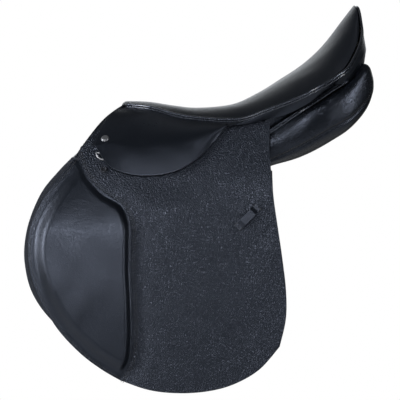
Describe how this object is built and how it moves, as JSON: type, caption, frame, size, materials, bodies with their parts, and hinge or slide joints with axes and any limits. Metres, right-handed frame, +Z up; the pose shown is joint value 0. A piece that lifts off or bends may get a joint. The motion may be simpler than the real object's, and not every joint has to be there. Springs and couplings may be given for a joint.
{
  "type": "jumping saddle",
  "caption": "Forward-cut jumping saddle in black leather with lifting flaps and skirts, padded knee pads, stuffed panels, girth billets and stirrup bars on a sprung tree.",
  "frame": {"origin": "on the midline under the lowest part of the seat, at the level where the panels bear on the back", "axes": "+X towards the cantle, +Y to the off (right) side, +Z up"},
  "size_m": [0.5182, 0.3306, 0.573],
  "materials": {
    "beech_laminate": "raw",
    "seat_foam": "matte",
    "webbing": "woven",
    "forged_steel": "satin",
    "nickel": "polished",
    "black_button": "gloss",
    "grained_leather": "pebbled satin",
    "lining_leather": "smooth satin",
    "pad_leather": "smooth satin",
    "panel_leather": "soft gloss",
    "smooth_leather": "soft gloss"
  },
  "bodies": {
    "root": {"tree_frame": "beech_laminate", "head_plate": "forged_steel", "gullet_plate": "forged_steel", "tree_point_left": "forged_steel", "tree_point_right": "forged_steel", "tree_spring_left": "forged_steel", "tree_spring_right": "forged_steel", "bar_rivets": "forged_steel", "stirrup_bar_left": "forged_steel", "stirrup_bar_right": "forged_steel", "seat_webbing": "webbing", "seat_foam": "seat_foam", "seat_cover": "smooth_leather", "seat_welt": "smooth_leather", "cantle_facing": "smooth_leather", "pommel_facing": "smooth_leather", "skirt_top_left": "smooth_leather", "skirt_top_right": "smooth_leather", "panel_left": "panel_leather", "panel_right": "panel_leather", "panel_piping_left": "panel_leather", "panel_piping_right": "panel_leather", "sweat_flap_left": "lining_leather", "sweat_flap_right": "lining_leather", "girth_web_left": "webbing", "girth_web_right": "webbing", "flap_top_left": "grained_leather", "flap_top_right": "grained_leather", "knee_block_left": "pad_leather", "knee_block_right": "pad_leather", "thigh_block_left": "pad_leather", "thigh_block_right": "pad_leather", "dee_loop_left": "smooth_leather", "dee_loop_right": "smooth_leather", "skirt_nails": "nickel", "flap_buttons": "black_button"},
    "flap_left": {"flap_left": "lining_leather", "flap_cover_left": "grained_leather", "knee_pad_left": "pad_leather", "keeper_left": "smooth_leather"},
    "flap_right": {"flap_right": "lining_leather", "flap_cover_right": "grained_leather", "knee_pad_right": "pad_leather", "keeper_right": "smooth_leather"},
    "skirt_left": {"skirt_left": "smooth_leather"},
    "skirt_right": {"skirt_right": "smooth_leather"},
    "bar_catch_left": {"bar_catch_left": "forged_steel"},
    "bar_catch_right": {"bar_catch_right": "forged_steel"},
    "dee_ring_left": {"dee_ring_left": "nickel"},
    "dee_ring_right": {"dee_ring_right": "nickel"},
    "billet_front_left": {"billet_front_left": "lining_leather"},
    "billet_front_right": {"billet_front_right": "lining_leather"},
    "billet_middle_left": {"billet_middle_left": "lining_leather"},
    "billet_middle_right": {"billet_middle_right": "lining_leather"},
    "billet_rear_left": {"billet_rear_left": "lining_leather"},
    "billet_rear_right": {"billet_rear_right": "lining_leather"}
  },
  "joints": [
    {"name": "flap_left_lift", "type": "hinge", "parent": "root", "child": "flap_left", "pos_m": [0, -0.134, -0.019], "axis": [-0.9982, 0.0599, 0], "range_deg": [0, 65]},
    {"name": "flap_right_lift", "type": "hinge", "parent": "root", "child": "flap_right", "pos_m": [0, 0.134, -0.019], "axis": [0.9982, 0.0599, 0], "range_deg": [0, 65]},
    {"name": "skirt_left_lift", "type": "hinge", "parent": "root", "child": "skirt_left", "pos_m": [-0.06352, -0.11236, 0.04151], "axis": [-0.9891, -0.0068, -0.147], "range_deg": [0, 60]},
    {"name": "skirt_right_lift", "type": "hinge", "parent": "root", "child": "skirt_right", "pos_m": [-0.06352, 0.11236, 0.04151], "axis": [0.9891, -0.0068, 0.147], "range_deg": [0, 60]},
    {"name": "bar_catch_left_turn", "type": "hinge", "parent": "root", "child": "bar_catch_left", "pos_m": [-0.0363, -0.11, 0.014], "axis": [0, -1, 0], "range_deg": [0, 80]},
    {"name": "bar_catch_right_turn", "type": "hinge", "parent": "root", "child": "bar_catch_right", "pos_m": [-0.0363, 0.11, 0.014], "axis": [0, -1, 0], "range_deg": [0, 80]},
    {"name": "dee_ring_left_swing", "type": "hinge", "parent": "root", "child": "dee_ring_left", "pos_m": [-0.148, -0.11247, 0.016], "axis": [-0.0546, -0.9106, 0.4098], "range_deg": [-12, 12]},
    {"name": "dee_ring_right_swing", "type": "hinge", "parent": "root", "child": "dee_ring_right", "pos_m": [-0.148, 0.11247, 0.016], "axis": [-0.0546, 0.9106, 0.4098], "range_deg": [-12, 12]},
    {"name": "billet_front_left_swing", "type": "hinge", "parent": "root", "child": "billet_front_left", "pos_m": [0.002, -0.11205, -0.03], "axis": [0, 1, 0], "range_deg": [-5, 5]},
    {"name": "billet_middle_left_swing", "type": "hinge", "parent": "root", "child": "billet_middle_left", "pos_m": [0.03, -0.11585, -0.03], "axis": [0, 1, 0], "range_deg": [-5, 5]},
    {"name": "billet_rear_left_swing", "type": "hinge", "parent": "root", "child": "billet_rear_left", "pos_m": [0.058, -0.11965, -0.03], "axis": [0, 1, 0], "range_deg": [-5, 5]},
    {"name": "billet_front_right_swing", "type": "hinge", "parent": "root", "child": "billet_front_right", "pos_m": [0.002, 0.11205, -0.03], "axis": [0, 1, 0], "range_deg": [-5, 5]},
    {"name": "billet_middle_right_swing", "type": "hinge", "parent": "root", "child": "billet_middle_right", "pos_m": [0.03, 0.11585, -0.03], "axis": [0, 1, 0], "range_deg": [-5, 5]},
    {"name": "billet_rear_right_swing", "type": "hinge", "parent": "root", "child": "billet_rear_right", "pos_m": [0.058, 0.11965, -0.03], "axis": [0, 1, 0], "range_deg": [-5, 5]}
  ]
}
